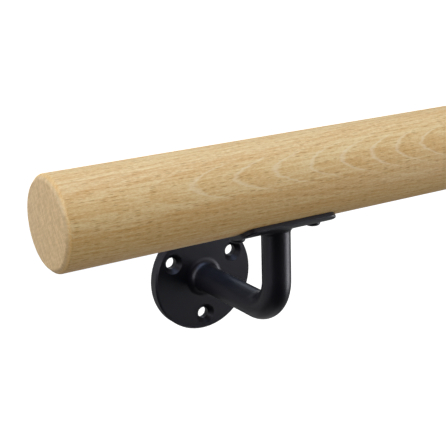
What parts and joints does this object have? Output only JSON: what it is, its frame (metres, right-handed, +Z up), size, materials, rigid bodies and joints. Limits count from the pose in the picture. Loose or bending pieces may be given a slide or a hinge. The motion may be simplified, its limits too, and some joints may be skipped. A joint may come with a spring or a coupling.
{
  "type": "stair handrail length",
  "caption": "Length of round hardwood stair handrail with bevelled ends, screwed to bent black wall brackets with round roses for a wall.",
  "frame": {"origin": "on the floor, under the middle of the object's box as it lies", "axes": "+X along the rail towards the end that the picture shows, +Y from the rail towards the roses, +Z up from the floor it lies on"},
  "size_m": [1, 0.148, 0.0748],
  "materials": {
    "rail_wood": "sanded hardwood with a thin satin oil",
    "bracket_coating": "satin black powder coat on cast iron",
    "screw_coating": "black-coated steel"
  },
  "bodies": {
    "root": {"rail": "rail_wood", "bracket_near": "bracket_coating", "saddle_screw_near_inner": "screw_coating", "saddle_screw_near_outer": "screw_coating", "bracket_far": "bracket_coating", "saddle_screw_far_inner": "screw_coating", "saddle_screw_far_outer": "screw_coating"}
  },
  "joints": []
}
